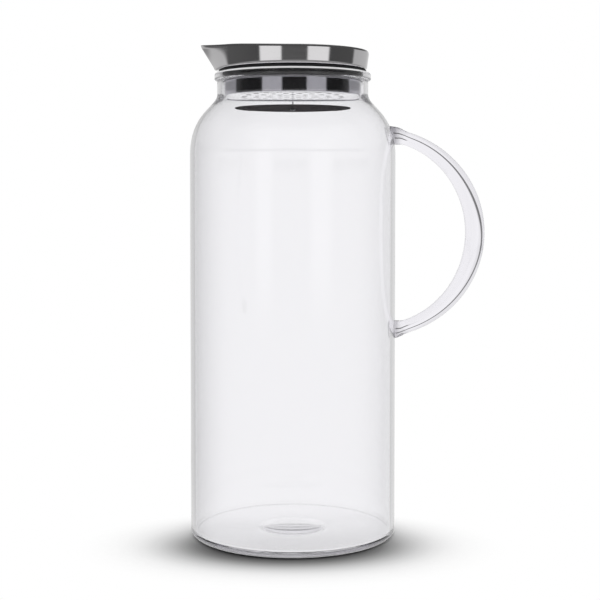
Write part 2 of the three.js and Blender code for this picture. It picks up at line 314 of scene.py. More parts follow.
def clearGlass(name, roots=False):
    # clear borosilicate glass: slow ripples from blowing and a faint lilac grey through its thickness;
    # a rod with roots is greyer, with painted shade darkening it where they are fused to the wall
    material, nodes, links, shader = newMaterial(name)
    place = nodes.new("ShaderNodeTexCoord").outputs["Object"]
    shader.inputs["Base Color"].default_value = (*glassLook["tint"], 1)
    if roots:
        split = nodes.new("ShaderNodeSeparateXYZ")
        links.new(place, split.inputs[0])
        # painted shade: the rod's colour darkens towards the wall at each root
        offWall = rangeNode(nodes, links, split.outputs[0], *glassLook["rootShadeReach"], 0, 1)
        tint = mixNode(nodes, links, offWall, glassLook["rootPaintedShade"], glassLook["rodTint"])
        links.new(tint, shader.inputs["Base Color"])
    shader.inputs["IOR"].default_value = glassLook["index"]
    shader.inputs["Transmission Weight"].default_value = 1
    shader.inputs["Roughness"].default_value = 0
    ripple = noiseNode(nodes, links, place, glassLook["rippleScale"], glassLook["rippleDetail"])
    links.new(bumpNode(nodes, links, ripple, 1, glassLook["rippleHeight"]), shader.inputs["Normal"])
    depth = nodes.new("ShaderNodeVolumeAbsorption")
    depth.inputs["Color"].default_value = (*glassLook["depthColour"], 1)
    depth.inputs["Density"].default_value = glassLook["depthDensity"]
    links.new(depth.outputs[0], nodes["Material Output"].inputs["Volume"])
    return material


def groundGlass():
    # ground top edge of the rim: milky white with a fine grain
    material, nodes, links, shader = newMaterial("groundGlass")
    place = nodes.new("ShaderNodeTexCoord").outputs["Object"]
    grain = noiseNode(nodes, links, place, glassLook["groundScale"], glassLook["groundDetail"])
    shader.inputs["Base Color"].default_value = (*glassLook["groundColour"], 1)
    shader.inputs["IOR"].default_value = glassLook["index"]
    shader.inputs["Transmission Weight"].default_value = glassLook["groundClear"]
    roughness = rangeNode(nodes, links, grain, *noiseSpan, *glassLook["groundRoughness"])
    links.new(roughness, shader.inputs["Roughness"])
    return material


polishedLook = {
    "dishColour": (0.74, 0.73, 0.74),
    # collar made darker than the dish: painted shade
    "collarShadedColour": (0.43, 0.425, 0.455),
    "sieveColour": (0.95, 0.95, 0.96),
    "roughness": (0.05, 0.11),
    "sieveRoughness": (0.005, 0.02),
    "lineScale": 2600.0,
    "lineTurns": 3.0,
    "lineDetail": 3.0,
    "lineHeight": 0.0000012,
    "sieveLineHeight": 0.0000001,
    # height up to which the collar's foot carries a painted highlight
    "footHighlightHeight": (0.2346, 0.2349),
}


def polishedSteel(name, colour, roughness, lineHeight, foot=None):
    # polished stainless steel with very fine lines left round the axis; a foot, if any, carries a painted
    # highlight: brighter up to its height
    material, nodes, links, shader = newMaterial(name)
    shader.inputs["Base Color"].default_value = (*colour, 1)
    if foot:
        split = nodes.new("ShaderNodeSeparateXYZ")
        links.new(nodes.new("ShaderNodeTexCoord").outputs["Object"], split.inputs[0])
        # painted highlight: the foot is brighter than the rest
        abovePaintedHighlight = rangeNode(nodes, links, split.outputs[2], *foot, 0, 1)
        paintedFootHighlight = mixNode(nodes, links, abovePaintedHighlight, polishedLook["sieveColour"], colour)
        links.new(paintedFootHighlight, shader.inputs["Base Color"])
    shader.inputs["Metallic"].default_value = 1
    vector = turnedVector(nodes, links, polishedLook["lineScale"], polishedLook["lineTurns"])
    lines = noiseNode(nodes, links, vector, 1, polishedLook["lineDetail"])
    links.new(rangeNode(nodes, links, lines, *noiseSpan, *roughness), shader.inputs["Roughness"])
    links.new(bumpNode(nodes, links, lines, 1, lineHeight), shader.inputs["Normal"])
    return material


brushedLook = {
    "dark": (0.5, 0.5, 0.51),
    "light": (0.68, 0.68, 0.69),
    # stem brightened to near white: painted light
    "stemPaintedLitDark": (0.9, 0.9, 0.91),
    "stemPaintedLitLight": (0.97, 0.97, 0.98),
    "stemRoughness": (0.02, 0.05),
    # painted shade on the stem's lower head: near black up to headHeight
    "paintedHeadShade": (0.05, 0.05, 0.055),
    "headHeight": (0.2278, 0.2282),
    "roughness": (0.2, 0.36),
    "lineStretch": (40.0, 3200.0, 3200.0),
    "lineDetail": 4.0,
    "lineHeight": 0.000003,
}


def brushedSteel(name, dark, light, roughness, paintedShadeHead=None):
    # stainless steel brushed along X: colour, gloss and relief follow the same long streaks;
    # a head, if any, carries painted shade: near black up to its height
    material, nodes, links, shader = newMaterial(name)
    place = nodes.new("ShaderNodeTexCoord").outputs["Object"]
    stretch = nodes.new("ShaderNodeMapping")
    stretch.inputs["Scale"].default_value = brushedLook["lineStretch"]
    links.new(place, stretch.inputs["Vector"])
    lines = noiseNode(nodes, links, stretch.outputs[0], 1, brushedLook["lineDetail"])
    colour = mixNode(nodes, links, rangeNode(nodes, links, lines, *noiseSpan, 0, 1), dark, light)
    if paintedShadeHead:
        split = nodes.new("ShaderNodeSeparateXYZ")
        links.new(place, split.inputs[0])
        aboveHead = rangeNode(nodes, links, split.outputs[2], *paintedShadeHead, 0, 1)
        colour = mixNode(nodes, links, aboveHead, brushedLook["paintedHeadShade"], colour)
    links.new(colour, shader.inputs["Base Color"])
    shader.inputs["Metallic"].default_value = 1
    links.new(rangeNode(nodes, links, lines, *noiseSpan, *roughness), shader.inputs["Roughness"])
    links.new(bumpNode(nodes, links, lines, 1, brushedLook["lineHeight"]), shader.inputs["Normal"])
    return material


siliconeLook = {
    "dark": (0.006, 0.006, 0.007),
    "light": (0.016, 0.016, 0.018),
    "guardDark": (0.11, 0.102, 0.106),
    "guardLight": (0.17, 0.158, 0.164),
    "grainScale": 1400.0,
    "grainDetail": 3.0,
    "grainHeight": 0.00002,
    "grainStrength": 0.6,
    "roughness": (0.5, 0.68),
    "sealSpecular": 0.3,
    "guardSpecular": 0.0,
}


def blackSilicone(name, dark, light, specular):
    # matt moulded silicone: a fine grain in colour, gloss and relief
    material, nodes, links, shader = newMaterial(name)
    place = nodes.new("ShaderNodeTexCoord").outputs["Object"]
    grain = noiseNode(nodes, links, place, siliconeLook["grainScale"], siliconeLook["grainDetail"])
    links.new(mixNode(nodes, links, grain, dark, light), shader.inputs["Base Color"])
    shader.inputs["Specular IOR Level"].default_value = specular
    roughness = rangeNode(nodes, links, grain, *noiseSpan, *siliconeLook["roughness"])
    links.new(roughness, shader.inputs["Roughness"])
    bump = bumpNode(nodes, links, grain, siliconeLook["grainStrength"], siliconeLook["grainHeight"])
    links.new(bump, shader.inputs["Normal"])
    return material


glass = clearGlass("clearGlass")
rodGlass = clearGlass("rodGlass", True)
ground = groundGlass()
polished = polishedSteel("polishedSteel", polishedLook["dishColour"], polishedLook["roughness"],
                         polishedLook["lineHeight"])
# collar: a darker copy of the polished steel as painted shade, with a painted highlight at its foot
shadedPolished = polishedSteel("shadedPolishedSteel", polishedLook["collarShadedColour"], polishedLook["roughness"],
                             polishedLook["lineHeight"], polishedLook["footHighlightHeight"])
brightPolished = polishedSteel("brightPolishedSteel", polishedLook["sieveColour"],
                               polishedLook["sieveRoughness"], polishedLook["sieveLineHeight"])
brushed = brushedSteel("brushedSteel", brushedLook["dark"], brushedLook["light"], brushedLook["roughness"])
# stem: brushed steel brightened to near white as painted light; its lower head is painted shade
stemSteelPaintedLightAndShade = brushedSteel("stemSteelPaintedLightAndShade", brushedLook["stemPaintedLitDark"], brushedLook["stemPaintedLitLight"],
                         brushedLook["stemRoughness"], brushedLook["headHeight"])
silicone = blackSilicone("blackSilicone", siliconeLook["dark"], siliconeLook["light"],
                         siliconeLook["sealSpecular"])
dullSilicone = blackSilicone("dullSilicone", siliconeLook["guardDark"], siliconeLook["guardLight"],
                             siliconeLook["guardSpecular"])
print("finishes made")


# glass vessel

vessel = {
    "wall": 2.4,
    "base": 3.0,
    "footRound": 3.0,
    "floorRound": 1.2,
    "buttonRadius": 16.0,
    "buttonRise": 1.2,
    "buttonPower": 0.8,
    "shoulder": 203.0,
    "shoulderFullness": 23.5,
    "shoulderRise": 33.0,
    "neckTurn": 7.0,
    "neckRadius": 40.4,
    "beadProud": 1.4,
    "beadDrops": (4.8, 3.4, 1.1),
    "groundProud": 0.45,
    "groundDrop": 1.3,
    "footRows": 14,
    "shoulderRows": 90,
    "beadRows": 20,
    "rimRows": 36,
    "floorRows": 20,
    "buttonRows": 24,
    "sides": 240,
    "step": 5.0,
}
bodyRadius = nodeBox("glass_body")[1][0]
glassTop = nodeBox("glass_body")[1][2]
neckStart = vessel["shoulder"] + vessel["shoulderRise"]


def vesselOutside():
    # flat base, rounded foot, upright wall, then one curve over the shoulder into the neck
    foot = vessel["footRound"]
    corner = arcPath((bodyRadius - foot, foot), (foot, foot), -90, 0, vessel["footRows"])
    shoulder = bezierPath([(bodyRadius, vessel["shoulder"]),
                           (bodyRadius, vessel["shoulder"] + vessel["shoulderFullness"]),
                           (vessel["neckRadius"], neckStart - vessel["neckTurn"]),
                           (vessel["neckRadius"], neckStart)], vessel["shoulderRows"])
    return np.vstack([[(0, 0)], corner, shoulder])


def vesselRim():
    # fire-polished bead: one curve out from the neck's outside, an upright face, then half an ellipse over
    # the top
    neck = vessel["neckRadius"]
    half = (vessel["wall"] + vessel["beadProud"]) / 2
    outer = neck + vessel["beadProud"]
    foot, low, high = (glassTop - drop for drop in vessel["beadDrops"])
    middle = (foot + low) / 2
    swell = bezierPath([(neck, foot), (neck, middle), (outer, middle), (outer, low)], vessel["beadRows"])
    over = arcPath((outer - half, high), (half, glassTop - high), 0, 180, vessel["rimRows"])
    return np.vstack([swell, over])


def vesselInside():
    # the bore follows the shoulder, then the rounded floor with its thicker middle:
    # height = base + rise * (1 - (r / button radius)^2) ^ power
    wall = vessel["wall"]
    bore = bodyRadius - wall
    neckBore = vessel["neckRadius"] - wall
    shoulder = bezierPath([(neckBore, neckStart),
                           (neckBore, neckStart - vessel["neckTurn"]),
                           (bore, vessel["shoulder"] + vessel["shoulderFullness"]),
                           (bore, vessel["shoulder"])], vessel["shoulderRows"])
    floor = vessel["floorRound"]
    corner = arcPath((bore - floor, vessel["base"] + floor), (floor, floor), 0, -90, vessel["floorRows"])
    r = np.linspace(vessel["buttonRadius"], 0, vessel["buttonRows"])
    share = r / vessel["buttonRadius"]
    button = vessel["base"] + vessel["buttonRise"] * (1 - share ** 2) ** vessel["buttonPower"]
    return np.vstack([shoulder, corner, np.stack([r, button], axis=1)])


vesselProfile = evenPath(np.vstack([vesselOutside(), vesselRim(), vesselInside()]), vessel["step"])
vesselPiece = addPiece("glassVessel", turnSolid(vesselProfile, vessel["sides"]), "pitcher", "glass_body",
                       glass)
# the bead's outer upper band is ground
vesselPiece.data.materials.append(ground)
groundRadius = (vessel["neckRadius"] + vessel["groundProud"]) * millimetre
groundHeight = (glassTop - vessel["groundDrop"]) * millimetre
for face in vesselPiece.data.polygons:
    if math.hypot(*face.center[:2]) > groundRadius and face.center.z > groundHeight:
        face.material_index = 1


# glass handle

handle = {
    "middleRadius": 5.2,
    "rootRadius": 3.4,
    "bow": 53.0,
    "inset": 10.0,
    "rootRise": 12.0,
    "flare": 1.3,
    "flareReach": 3.6,
    "embed": 0.05,
    "halvings": 30,
    "rows": 200,
    "sides": 40,
}
handleCentre = np.array([bodyRadius - handle["inset"], 0,
                         vessel["shoulder"] + handle["rootRise"] - handle["bow"]])


def rodPoints(bend, turn):
    # point of the bent rod: circle of radius r about a circle of radius bow, where r falls with the square
    # of the cosine of the bend and swells again, as a bell curve of its reach from the wall, at the roots
    across = np.cos(bend)
    reach = np.maximum(handleCentre[0] + handle["bow"] * across - bodyRadius, 0)
    r = handle["rootRadius"] + (handle["middleRadius"] - handle["rootRadius"]) * across ** 2
    r = r + handle["flare"] * np.exp(-(reach / handle["flareReach"]) ** 2)
    out = handle["bow"] + r * np.cos(turn)
    side = -r * np.sin(turn) * np.ones_like(bend)
    return np.stack([handleCentre[0] + out * across, side, handleCentre[2] + out * np.sin(bend)], axis=-1)


def handleSurface():
    # the rod between the two bends, found by halving, where its side passes through the vessel's outside
    turn = np.arange(handle["sides"]) / handle["sides"] * 2 * np.pi
    outside = vesselOutside()[1:]

    def pastWall(bend):
        p = rodPoints(bend, turn)
        wall = np.interp(p[:, 2], outside[:, 1], outside[:, 0]) - handle["embed"]
        return np.hypot(p[:, 0], p[:, 1]) > wall

    ends = []
    for side in (1, -1):
        inner = np.full(turn.shape, side * np.pi / 2)
        outer = np.full(turn.shape, side * np.pi / 3)
        for _ in range(handle["halvings"]):
            middle = (inner + outer) / 2
            past = pastWall(middle)
            outer = np.where(past, middle, outer)
            inner = np.where(past, inner, middle)
        ends.append(outer)
    share = np.linspace(0, 1, handle["rows"])[:, None]
    points = rodPoints(ends[0] + share * (ends[1] - ends[0]), turn[None, :])
    capStart, capEnd = points[0].mean(axis=0), points[-1].mean(axis=0)
    points = np.vstack([points.reshape(-1, 3), capStart, capEnd])
    around = np.arange(handle["sides"])
    faces = gridQuads(handle["rows"], handle["sides"], False).tolist()
    faces += capFan(len(points) - 2, around, True).tolist()
    faces += capFan(len(points) - 1, (handle["rows"] - 1) * handle["sides"] + around, False).tolist()
    return points, faces


addPiece("glassHandle", handleSurface(), "pitcher", "glass_handle", rodGlass)


# silicone gasket

gasket = {
    "lip": 0.7,
    "collarPlay": 0.05,
    "touch": 0.02,
    "edgeRound": 0.3,
    "ribTop": 0.4,
    "ribProud": 0.1,
    "ribPitch": 1.2,
    "ribPower": 4,
    "step": 0.25,
    "sides": 200,
}


def gasketOutline():
    # angle section: flange between rim and lid, and a lip down the neck whose outside has soft ribs:
    # proud * sin(pi * height / pitch) ^ power
    low, high = nodeBox("lid_gasket")
    lidUnder = nodeBox("lid_cover")[0][2]
    inside = nodeBox("lid_collar")[1][0] + gasket["collarPlay"]
    lip = inside + gasket["lip"]
    touch = gasket["touch"]
    corners = [(inside, low[2]), (lip, low[2]), (lip, glassTop + touch), (high[0], glassTop + touch),
               (high[0], lidUnder - touch), (inside, lidUnder - touch)]
    outline = closedEven(roundedOutline(corners, gasket["edgeRound"]), gasket["step"])
    r, z = outline[:, 0], outline[:, 1]
    onLip = (np.abs(r - lip) < closest) & (z < glassTop - gasket["ribTop"])
    wave = gasket["ribProud"] * np.sin(np.pi * (z - low[2]) / gasket["ribPitch"]) ** gasket["ribPower"]
    return np.stack([r + np.where(onLip, wave, 0), z], axis=1)


addPiece("lidGasket", turnRing(gasketOutline(), gasket["sides"]), "seal", "lid_gasket",
         silicone)


# steel lid dish with its beak

dish = {
    "lowerRadius": 39.6,
    "rimRadius": 40.8,
    "height": 9.8,
    "sheet": 0.8,
    "lowerRound": 1.7,
    "innerRound": 0.9,
    "rimRound": 0.3,
    "lipHeight": 1.2,
    "lipLean": 0.3,
    "pourRadius": 24.0,
    "pourRound": 0.3,
    "climbPower": 1.8,
    "tipSoftness": 0.02,
    "wallFoot": 1.6,
    "beakFoot": 0.28,
    "columnShares": (0.55, 0.45),
    "step": 0.3,
    "sides": 420,
}


def dishSurface():
    # turned dish whose wall leans out to two tangents that meet at the beak's tip, and climbs towards it:
    # outline = rim / sin(turn from the tip + half angle of the tip),
    # climb = rise * (reach to the tip) ^ power
    low, high = nodeBox("lid_cover")
    seat, tip = low[2], -low[0]
    top = seat + dish["height"]
    rise = high[2] - top
    rim, sheet, lower = dish["rimRadius"], dish["sheet"], dish["lowerRadius"]
    lip = rim - dish["lipLean"]
    corners = [(dish["pourRadius"], seat), (lower, seat), (rim, top - dish["lipHeight"]), (lip, top),
               (lip - sheet, top), (lower - sheet, seat + sheet), (dish["pourRadius"], seat + sheet)]
    pour, edge = dish["pourRound"], dish["rimRound"]
    reach = [pour, dish["lowerRound"], edge, edge, edge, dish["innerRound"], pour]
    outline = closedEven(roundedOutline(corners, reach), dish["step"])

    w = np.linspace(-1, 1, dish["sides"], endpoint=False)
    even, bunched = dish["columnShares"]
    angle = np.pi * (1 + even * w + bunched * w ** 3)  # closer columns at the tip
    half = math.asin(rim / tip)
    turn = np.sqrt((angle - np.pi) ** 2 + dish["tipSoftness"] ** 2)
    tangent = np.pi / 2 - half  # turn at which each tangent meets the rim
    pulled = np.where(turn < tangent, rim / np.sin(np.minimum(turn, tangent) + half), rim) - rim
    pulled = pulled * (tip - rim) / pulled.max()
    along = np.maximum((rim + pulled) * np.cos(angle - np.pi), 0) / tip
    climb = rise * along ** dish["climbPower"]

    foot = seat + dish["wallFoot"]
    up = np.maximum((outline[:, 1:] - foot) / (top - foot), 0)
    floorWidth = lower - dish["wallFoot"] - dish["pourRadius"]
    out = np.minimum((outline[:, :1] - dish["pourRadius"]) / floorWidth, 1)
    r = outline[:, :1] + (dish["beakFoot"] * out + (1 - dish["beakFoot"]) * up) * pulled
    z = outline[:, 1:] + up * climb
    points = np.stack([r * np.cos(angle), r * np.sin(angle), z], axis=-1).reshape(-1, 3)
    return points, gridQuads(len(outline), dish["sides"], True).tolist()


addPiece("lidDish", dishSurface(), "lid", "lid_cover", polished)


# steel collar that plugs the neck

collar = {
    "sheet": 0.8,
    "curl": 1.0,
    "edgeRound": 0.1,
    "boreRound": 0.15,
    "step": 0.4,
    "sides": 240,
}


def collarOutline():
    # upright sheet with its foot curled in
    low, high = nodeBox("lid_collar")
    outside, foot, top = high[0], low[2], high[2]
    bore, inner = outside - collar["sheet"], outside - collar["curl"]
    corners = [(inner, foot), (outside, foot), (outside, top), (bore, top),
               (bore, foot + collar["sheet"]), (inner, foot + collar["sheet"])]
    edge = collar["edgeRound"]
    reach = [edge, collar["curl"] - edge, edge, edge, collar["boreRound"], edge]
    return closedEven(roundedOutline(corners, reach), collar["step"])


addPiece("lidCollar", turnRing(collarOutline(), collar["sides"]), "lid", "lid_collar",
         shadedPolished)


# strainer, guard disc and the stem that joins them

sieve = {
    "holeRadius": 1.5,
    "holePitch": 6.6,
    "rings": 4,
    "ringStep": 6,
    "stemRadius": 0.5,
    "stemPlay": 0.3,
    "headHeight": 0.7,
    "headLip": 0.1,
    "edgeRound": 0.1,
    "guardRound": 0.2,
    "guardStep": 1.0,
    "stemStep": 0.5,
    "sides": 144,
    "holeSides": 20,
    "stemHoleSides": 24,
    "stemSides": 40,
    "headRows": 9,
}


def circleOutline(centre, radius, sides):
    # closed circle: centre + radius * (cos a, sin a)
    a = np.arange(sides) / sides * 2 * np.pi
    return np.stack([centre[0] + radius * np.cos(a), centre[1] + radius * np.sin(a)], axis=1)


def sieveSurface():
    # disc with rings of holes, six more in each ring, and the stem's hole in its middle
    low, high = nodeBox("strainer")
    outlines = [circleOutline((0, 0), high[0], sieve["sides"]),
                circleOutline((0, 0), sieve["stemRadius"] + sieve["stemPlay"], sieve["stemHoleSides"])]
    for ring in range(1, sieve["rings"] + 1):
        for centre in circleOutline((0, 0), ring * sieve["holePitch"], ring * sieve["ringStep"]):
            outlines.append(circleOutline(centre, sieve["holeRadius"], sieve["holeSides"]))
    points, faces = sheetPoints(outlines, high[2] - low[2], sieve["edgeRound"])
    return points + np.array([0, 0, (low[2] + high[2]) / 2]), faces


def guardSurface():
    # flat moulded ring with soft edges
    low, high = nodeBox("guard_disc")
    hole = sieve["stemRadius"] + sieve["stemPlay"]
    corners = [(hole, low[2]), (high[0], low[2]), (high[0], high[2]), (hole, high[2])]
    outline = closedEven(roundedOutline(corners, sieve["guardRound"]), sieve["guardStep"])
    return turnRing(outline, sieve["sides"])


def stemSurface():
    # shaft with a domed head at each end, turned about Z
    low, high = nodeBox("guard_stem")
    head, rise, shaft = high[0], sieve["headHeight"], sieve["stemRadius"]
    ends = []
    for z, turn in ((low[2] + rise, -90), (high[2] - rise, 90)):
        dome = arcPath((0, z), (head, rise), 0, turn, sieve["headRows"])
        ends.append(np.vstack([[(shaft, z), (head - sieve["headLip"], z)], dome]))
    profile = evenPath(np.vstack([ends[0][::-1], ends[1]]), sieve["stemStep"])
    return turnSolid(profile, sieve["stemSides"])


addPiece("strainerDisc", sieveSurface(), "lid", "strainer", brightPolished, flatSides=True)
addPiece("guardDisc", guardSurface(), "lid", "guard_disc", dullSilicone, flatSides=True)
addPiece("guardStem", stemSurface(), "lid", "guard_stem", stemSteelPaintedLightAndShade, flatSides=True)


# flap with its hanger tabs, weight, pin and ears

hinge = {
    "flapSheet": 0.5,
    "frontRadius": 25.5,
    "backRadius": 22.4,
    "lapEnd": 3.0,
    "pinX": 6.0,
    "pinBore": 1.3,
    "tabPlace": 15.0,
    "tabSheet": 1.0,
    "tabMargin": 0.8,
    "tabSlant": 18.0,
    "weightX": 9.5,
    "weightBore": 3.2,
    "weightEase": 0.5,
    "rivetRise": 0.8,
    "rivetLip": 0.1,
    "rivetGap": 0.02,
    "earSheet": 1.0,
    "earMargin": 1.7,
    "edgeRound": 0.12,
    "frontRows": 120,
    "backRows": 70,
    "roundRows": 24,
    "boreSides": 24,
    "weightBoreSides": 32,
    "weightStep": 0.8,
    "weightRows": 6,
    "weightSides": 64,
    "pinStep": 0.5,
    "pinRows": 9,
    "pinSides": 40,
}
pinBox = nodeBox("flap_pin")
weightBox = nodeBox("flap_weight")
pinZ = (pinBox[0][2] + pinBox[1][2]) / 2
weightZ = (weightBox[0][2] + weightBox[1][2]) / 2


def uprightSheet(outlines, thickness, place):
    # sheet whose outline is given in X and Z, with its thickness along Y about the place
    points, faces = sheetPoints(outlines, thickness, hinge["edgeRound"])
    return np.stack([points[:, 0], place - points[:, 2], points[:, 1]], axis=1), faces


def flapSurface():
    # disc, wider in front of the pin than behind it, with two tabs that hold the pin and the weight
    top = nodeBox("flap")[1][2]
    step = hinge["lapEnd"]
    frontTurn = math.degrees(math.acos(step / hinge["frontRadius"]))
    backTurn = math.degrees(math.acos(step / hinge["backRadius"]))
    front = arcPath((0, 0), (hinge["frontRadius"],) * 2, frontTurn, 360 - frontTurn, hinge["frontRows"])
    back = arcPath((0, 0), (hinge["backRadius"],) * 2, -backTurn, backTurn, hinge["backRows"])
    points, faces = sheetPoints([np.vstack([front, back])], hinge["flapSheet"], hinge["edgeRound"])
    parts = [(points + np.array([0, 0, top - hinge["flapSheet"] / 2]), faces)]
    reach = hinge["weightBore"] + hinge["tabMargin"]
    left = hinge["pinX"] - hinge["pinBore"] - hinge["tabMargin"]
    under = top - hinge["flapSheet"] / 2
    edge = np.vstack([[(left, under), (left, pinZ - hinge["pinBore"])],
                      arcPath((hinge["weightX"], weightZ), (reach, reach), 180 + hinge["tabSlant"], 360,
                              hinge["roundRows"]),
                      [(hinge["weightX"] + reach, under)]])
    holes = [circleOutline((hinge["pinX"], pinZ), hinge["pinBore"], hinge["boreSides"]),
             circleOutline((hinge["weightX"], weightZ), hinge["weightBore"], hinge["weightBoreSides"])]
    for side in (-1, 1):
        parts.append(uprightSheet([edge, *holes], hinge["tabSheet"], side * hinge["tabPlace"]))
    return joinParts(parts)


def weightSurface():
    # round bar with eased ends
    low, high = weightBox
    radius, half = (high[0] - low[0]) / 2, (high[1] - low[1]) / 2
    ease, rows = hinge["weightEase"], hinge["weightRows"]
    profile = np.vstack([[(0, -half)], arcPath((radius - ease, ease - half), (ease, ease), -90, 0, rows),
                         arcPath((radius - ease, half - ease), (ease, ease), 0, 90, rows), [(0, half)]])
    points, faces = turnSolid(evenPath(profile, hinge["weightStep"]), hinge["weightSides"])
    return layAlongY(points, (hinge["weightX"], 0, weightZ)), faces


def pinSurface():
    # shaft with a domed rivet head at each end
    low, high = pinBox
    half, head = high[1], (high[0] - low[0]) / 2
    headRise = hinge["rivetRise"]
    shaft = head - headRise
    dome = arcPath((0, half - headRise), (head, headRise), 0, 90, hinge["pinRows"])
    under = [(shaft, half - headRise - hinge["rivetGap"]), (head - hinge["rivetLip"], half - headRise)]
    upper = np.vstack([under, dome])
    profile = np.vstack([upper[::-1] * (1, -1), upper])
    points, faces = turnSolid(evenPath(profile, hinge["pinStep"]), hinge["pinSides"])
    return layAlongY(points, (hinge["pinX"], 0, pinZ)), faces


def earSurface(node):
    # upright ear with a round foot and the pin's hole
    low, high = nodeBox(node)
    half = hinge["pinBore"] + hinge["earMargin"]
    edge = np.vstack([[(hinge["pinX"] - half, high[2])],
                      arcPath((hinge["pinX"], pinZ), (half, half), 180, 360, hinge["roundRows"]),
                      [(hinge["pinX"] + half, high[2])]])
    hole = circleOutline((hinge["pinX"], pinZ), hinge["pinBore"], hinge["boreSides"])
    return uprightSheet([edge, hole], hinge["earSheet"], (low[1] + high[1]) / 2)


addPiece("pourFlap", flapSurface(), "flap", "flap", brushed, flatSides=True)
addPiece("flapWeight", weightSurface(), "flap", "flap_weight", brushed, flatSides=True)
addPiece("flapPin", pinSurface(), "lid", "flap_pin", brushed, flatSides=True)
for side in ("left", "right"):
    addPiece("hingeEar" + side.capitalize(), earSurface("hinge_ear_" + side), "lid", "hinge_ear_" + side,
             brushed, flatSides=True)


# stage: floor, world and lamp

stage = {
    "floorRadius": 0.85,
    "floorDrop": 0.0003,
    "floorRings": 24,
    "floorSides": 96,
    "floorSpread": 1.5,
    "floorRoughness": 0.9,
    "fadeStart": 0.56,
    "fadeEnd": 0.95,
    "shadeOffset": (0.0014, 0.0368, 0.0),
    "shadeScale": (0.82, 1.27, 1.0),
    "shadeReach": 0.1,
    "skyLevel": 0.9,
    "shadeLevel": 0.45,
    "lampSize": 1.6,
    "lampHeight": 1.3,
    "lampForward": 0.1,
    "lampPower": 5.0,
}
# painted shadow: paper's tone by reach from the middle of the contact shade, as a share of its whole reach
contactShade = [(0.305, 0.06), (0.35, 0.16), (0.395, 0.26), (0.444, 0.41), (0.5, 0.6), (0.558, 0.77),
                (0.615, 0.88), (0.672, 0.94), (0.74, 0.97), (0.82, 0.98), (0.97, 0.98)]


def levelRamp(nodes, links, value, stops):
    # grey level by value, straight between the stops
    node = nodes.new("ShaderNodeValToRGB")
    elements = node.color_ramp.elements
    while len(elements) < len(stops):
        elements.new(0.5)
    for element, (place, level) in zip(elements, stops):
        element.position = place
        element.color = (level, level, level, 1)
    links.new(value, node.inputs[0])
    return node.outputs[0]


def layFloor():
    # disc on a polar grid, x = r cos a and y = r sin a: white paper with a soft painted shadow of the base
    # in its colour, fading to plain white light at its edge; rays that glass has bent or mirrored pass it by
    sides, level = stage["floorSides"], -stage["floorDrop"] / millimetre
    r = np.linspace(0, 1, stage["floorRings"])[1:, None] ** stage["floorSpread"]
    r = r * stage["floorRadius"] / millimetre
    a = np.arange(sides) / sides * 2 * np.pi
    points = np.stack([r * np.cos(a), r * np.sin(a), np.full((len(r), sides), level)], axis=-1)
    points = np.vstack([points.reshape(-1, 3), [0, 0, level]])
    faces = gridQuads(len(r), sides, False)[:, ::-1].tolist()
    faces += capFan(len(points) - 1, np.arange(sides), False).tolist()
    floor = bpy.data.objects.new("floor", meshFrom("floor", points, faces))
    material, nodes, links, shader = newMaterial("paperFloor")
    shader.inputs["Roughness"].default_value = stage["floorRoughness"]
    shader.inputs["Specular IOR Level"].default_value = 0.0
    place = nodes.new("ShaderNodeTexCoord").outputs["Object"]
    shade = nodes.new("ShaderNodeMapping")
    shade.inputs["Location"].default_value = stage["shadeOffset"]
    shade.inputs["Scale"].default_value = stage["shadeScale"]
    links.new(place, shade.inputs["Vector"])
    reach = nodes.new("ShaderNodeVectorMath")
    reach.operation = "LENGTH"
    links.new(shade.outputs[0], reach.inputs[0])
    scaled = mathNode(nodes, links, "MULTIPLY", reach.outputs["Value"], 1 / stage["shadeReach"])
    # painted shadow in the paper's colour
    links.new(levelRamp(nodes, links, scaled, contactShade), shader.inputs["Base Color"])
    fade = rangeNode(nodes, links, scaled, stage["fadeStart"], stage["fadeEnd"], 0, 1, True)

    light = nodes.new("ShaderNodeLightPath")
    mirrored = mathNode(nodes, links, "GREATER_THAN", light.outputs["Glossy Depth"], 0.5)
    passed = mathNode(nodes, links, "MAXIMUM", mirrored, light.outputs["Is Transmission Ray"])
    plain = nodes.new("ShaderNodeEmission")
    clear = nodes.new("ShaderNodeBsdfTransparent")
    paper = nodes.new("ShaderNodeMixShader")
    links.new(fade, paper.inputs[0])
    links.new(shader.outputs[0], paper.inputs[1])
    links.new(plain.outputs[0], paper.inputs[2])
    mix = nodes.new("ShaderNodeMixShader")
    links.new(passed, mix.inputs[0])
    links.new(paper.outputs[0], mix.inputs[1])
    links.new(clear.outputs[0], mix.inputs[2])
    links.new(mix.outputs[0], nodes["Material Output"].inputs["Surface"])
    floor.data.materials.append(material)
    collection.objects.link(floor)


# what steel and glass mirror, by angle from the camera's side: two tall soft lights with dark or grey gaps
steelBands = [(-180, 0.95), (-165, 0.7), (-150, 0.58), (-119, 0.55), (-115, 0.1), (-80, 0.09), (-52, 0.075),
              (-49, 0.93), (-18, 0.93), (-15.5, 0.1), (21.5, 0.095), (24, 0.92), (55, 0.92), (58, 0.07),
              (103, 0.08), (107, 0.5), (150, 0.55), (165, 0.7), (180, 0.95)]
glassBands = [(-180, 0.86), (-170, 0.7), (-158, 0.64), (-145, 0.58), (-131, 0.2), (-105, 0.2), (-80, 0.45),
              (-60, 0.55), (60, 0.55), (80, 0.48), (105, 0.26), (122, 0.26), (138, 0.6), (158, 0.7),
              (170, 0.74), (180, 0.86)]
glassHighlights = [(-44, 0.0), (-37, 0.45), (-27, 0.45), (-20, 0.0), (17, 0.0), (24, 0.45), (38, 0.45),
                   (48, 0.0)]
